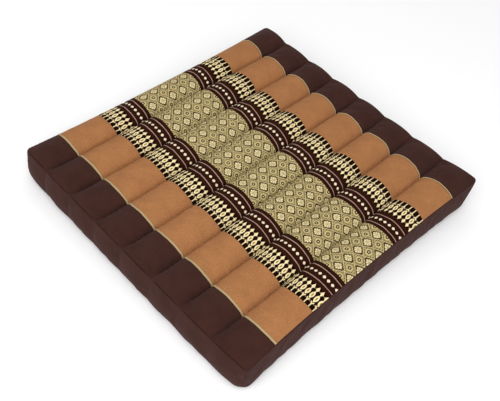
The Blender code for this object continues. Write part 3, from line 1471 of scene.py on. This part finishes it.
@dataclass
class SeamThread:
    """The stitches that close each channel, along its valley above and its groove below.

    `places` run from one end of a stitch, -1, to the other, 1, and `widths` are the thread's there, in shares
    of its radius.
    """

    form: CushionForm
    stitch: float = 0.0044
    spacing: float = 0.0060
    radius: float = 0.00036
    end_y: float = 0.246
    top_height: float = 0.0020
    base_height: float = -0.0004
    sink: float = 0.0007
    sink_power: int = 3
    sides: int = 6
    places: tuple[float, ...] = (-1.0, -0.85, -0.4, 0.4, 0.85, 1.0)
    widths: tuple[float, ...] = (0.35, 0.85, 1.0, 1.0, 0.85, 0.35)

    def build(self) -> bpy.types.Object:
        """Builds and dresses all the stitches as one piece.

        Returns:
            The finished piece.
        """
        grid = np.arange(len(self.places) * self.sides).reshape(len(self.places), self.sides)
        tube = quads(np.hstack([grid, grid[:, :1]]))
        stitches = [
            self.one_stitch(seam, upper, start)
            for seam in range(1, self.form.tubes)
            for upper in (True, False)
            for start in np.arange(-self.end_y, self.end_y, self.spacing)
        ]
        faces = [tube + number * grid.size for number in range(len(stitches))]
        joined = np.concatenate(stitches)
        thread = new_piece("channel_stitches", joined, faces, joined[:, :2])
        dress(thread, THREAD)
        return thread

    def one_stitch(self, seam: int, upper: bool, start: float) -> Array:
        """Points of one stitch, whose ends sink into the cloth.

        Args:
            seam: Number of its channel seam.
            upper: Whether it lies on the top.
            start: Cross line of its middle.

        Returns:
            The points, ring by ring.
        """
        places = np.array(self.places)
        across, line = np.full(len(places), float(seam)), start + places * self.stitch / 2
        sunk = self.sink * np.abs(places) ** self.sink_power
        if upper:
            spine = self.form.top(across, line, self.top_height)
            spine[:, 2] -= sunk
        else:
            spine = self.form.base(across, line)
            spine[:, 2] += self.base_height + sunk
        turns = np.linspace(0, 2 * math.pi, self.sides, endpoint=False)
        ring = np.stack([np.cos(turns), np.zeros(self.sides), np.sin(turns)], -1)
        thick = np.array(self.widths)[:, None, None] * self.radius
        return (spine[:, None] + thick * ring[None]).reshape(-1, 3)


@dataclass
class Cushion:
    """The whole cushion: pillow, top cloths, side bands and stitches.

    Each pair is the two cross lines of a gold edge, as distances from the middle.
    """

    form: CushionForm = field(default_factory=CushionForm)
    panel_end: float = 0.1230
    panel_height: float = 0.0022
    gold_front: tuple[float, float] = (0.1932, 0.1968)
    gold_back: tuple[float, float] = (0.1938, 0.1960)
    gold_height: float = 0.0026
    gold_step: float = 0.0006
    gold_roll: float = 0.0007
    cut_gap: float = 0.0003

    def build(self) -> list[bpy.types.Object]:
        """Builds every piece.

        Returns:
            The finished pieces.
        """
        puffing = Puffing(self.form)
        half = self.cut_gap / 2
        folded = {
            "cloth": CutCloth(roll=self.gold_roll),
            "cloth_height": self.gold_height,
            "line_step": self.gold_step,
        }
        pieces = [Pillow(self.form, puffing).build()]
        for end, (inner, outer) in zip(End, (self.gold_front, self.gold_back)):
            gold = self.strip(puffing, end, "gold_edge", GOLD, (inner + half, outer - half), **folded)
            tan = self.strip(puffing, end, "tan_strip", TAN, (self.panel_end + half, inner - half))
            brown = self.strip(puffing, end, "end_strip", BROWN, (outer + half, self.form.end_y))
            trim = gold.build(is_trim=True)
            pieces += [trim, tan.build(trims=[trim]), brown.build()]
        edge = self.panel_end - half
        panel = TopSheet(
            self.form, puffing, "woven_panel", BROCADE, -edge, edge, cloth_height=self.panel_height
        )
        pieces.append(panel.build())
        pieces += [SideBand(self.form, puffing, side).build() for side in Side]
        pieces.append(SeamThread(self.form).build())
        return pieces

    def strip(
        self,
        puffing: Puffing,
        end: End,
        kind: str,
        finish: Finish,
        span: tuple[float, float],
        **sizes: CutCloth | float,
    ) -> TopSheet:
        """Sets out one strip of the top at one end.

        Args:
            puffing: How the stuffing fills the cover.
            end: The end that it lies towards.
            kind: First part of the strip's name.
            finish: Its cloth.
            span: Its two cross lines, as distances from the middle.
            sizes: Sizes that differ from other sheets.

        Returns:
            The strip, ready to build.
        """
        first, last = sorted(end.value * distance for distance in span)
        return TopSheet(self.form, puffing, f"{kind}_{end.name.lower()}", finish, first, last, **sizes)


def looking_from(place: Array, towards: Array, roll: float) -> Matrix:
    """A lamp's or camera's matrix.

    Args:
        place: Where it stands.
        towards: The direction that it looks in.
        roll: Its turn about that direction, in radians.

    Returns:
        The matrix that puts it there.
    """
    back = -towards / np.linalg.norm(towards)
    level = np.cross([0.0, 0.0, 1.0], back)
    level /= np.linalg.norm(level)
    up = np.cross(back, level)
    right = math.cos(roll) * level + math.sin(roll) * up
    upward = -math.sin(roll) * level + math.cos(roll) * up
    matrix = Matrix.Identity(4)
    for column, axis in enumerate((right, upward, back, place)):
        for row in range(3):
            matrix[row][column] = axis[row]
    return matrix


@dataclass
class Studio:
    """Pale floor, soft light from above and a camera at the photograph's angle. Angles are in degrees."""

    location: tuple[float, float, float] = (0.4778, -0.6090, 0.8847)
    azimuth: float = 38.08
    elevation: float = 49.66
    roll: float = 10.43
    lens: float = 52.92
    sensor: float = 36.0
    floor_half: float = 9.0
    floor_colour: Colour = (0.95, 0.95, 0.95)
    floor_roughness: float = 0.9
    world_colour: Colour = (1.0, 1.0, 1.0)
    world_strength: float = 0.83
    lamp_power: float = 14.0
    lamp_size: float = 1.3
    lamp_place: tuple[float, float, float] = (0.50, -0.85, 1.15)

    def build(self) -> None:
        """Builds the floor, the lights and the camera."""
        self.floor()
        self.lights()
        self.camera()
        bpy.context.scene.view_settings.view_transform = "Standard"

    def floor(self) -> None:
        """Lays a large pale floor under the cushion."""
        corners = np.array([[-1.0, -1.0, 0.0], [1.0, -1.0, 0.0], [1.0, 1.0, 0.0], [-1.0, 1.0, 0.0]])
        corners = corners * self.floor_half
        floor = new_piece("floor", corners, [np.array([[0, 1, 2, 3]])], corners[:, :2])
        material = bpy.data.materials.new("pale_floor")
        material.use_nodes = True
        shader = material.node_tree.nodes["Principled BSDF"]
        shader.inputs["Base Color"].default_value = (*self.floor_colour, 1)
        shader.inputs["Roughness"].default_value = self.floor_roughness
        floor.data.materials.append(material)

    def lights(self) -> None:
        """Sets an even white surround and one broad lamp above the front."""
        world = bpy.data.worlds.new("white_surround")
        world.use_nodes = True
        surround = world.node_tree.nodes["Background"]
        surround.inputs["Color"].default_value = (*self.world_colour, 1)
        surround.inputs["Strength"].default_value = self.world_strength
        bpy.context.scene.world = world
        lamp = bpy.data.lights.new("softbox", "AREA")
        lamp.shape = "SQUARE"
        lamp.size = self.lamp_size
        lamp.energy = self.lamp_power
        holder = bpy.data.objects.new("softbox", lamp)
        place = np.array(self.lamp_place)
        holder.matrix_world = looking_from(place, -place, 0.0)
        bpy.context.scene.collection.objects.link(holder)

    def camera(self) -> None:
        """Places the camera."""
        turn, tilt = math.radians(self.azimuth), math.radians(self.elevation)
        flat = math.cos(tilt)
        towards = -np.array([math.sin(turn) * flat, -math.cos(turn) * flat, math.sin(tilt)])
        data = bpy.data.cameras.new("camera")
        data.lens = self.lens
        data.sensor_width = self.sensor
        camera = bpy.data.objects.new("camera", data)
        camera.matrix_world = looking_from(np.array(self.location), towards, math.radians(self.roll))
        bpy.context.scene.collection.objects.link(camera)
        bpy.context.scene.camera = camera


def main() -> None:
    """Builds the cushion and the studio, and reports each piece."""
    logging.basicConfig(level=logging.INFO, format="%(message)s")
    for piece in Cushion().build():
        LOG.info("%s: %d faces", piece.name, len(piece.data.polygons))
    Studio().build()


if __name__ == "__main__":
    main()
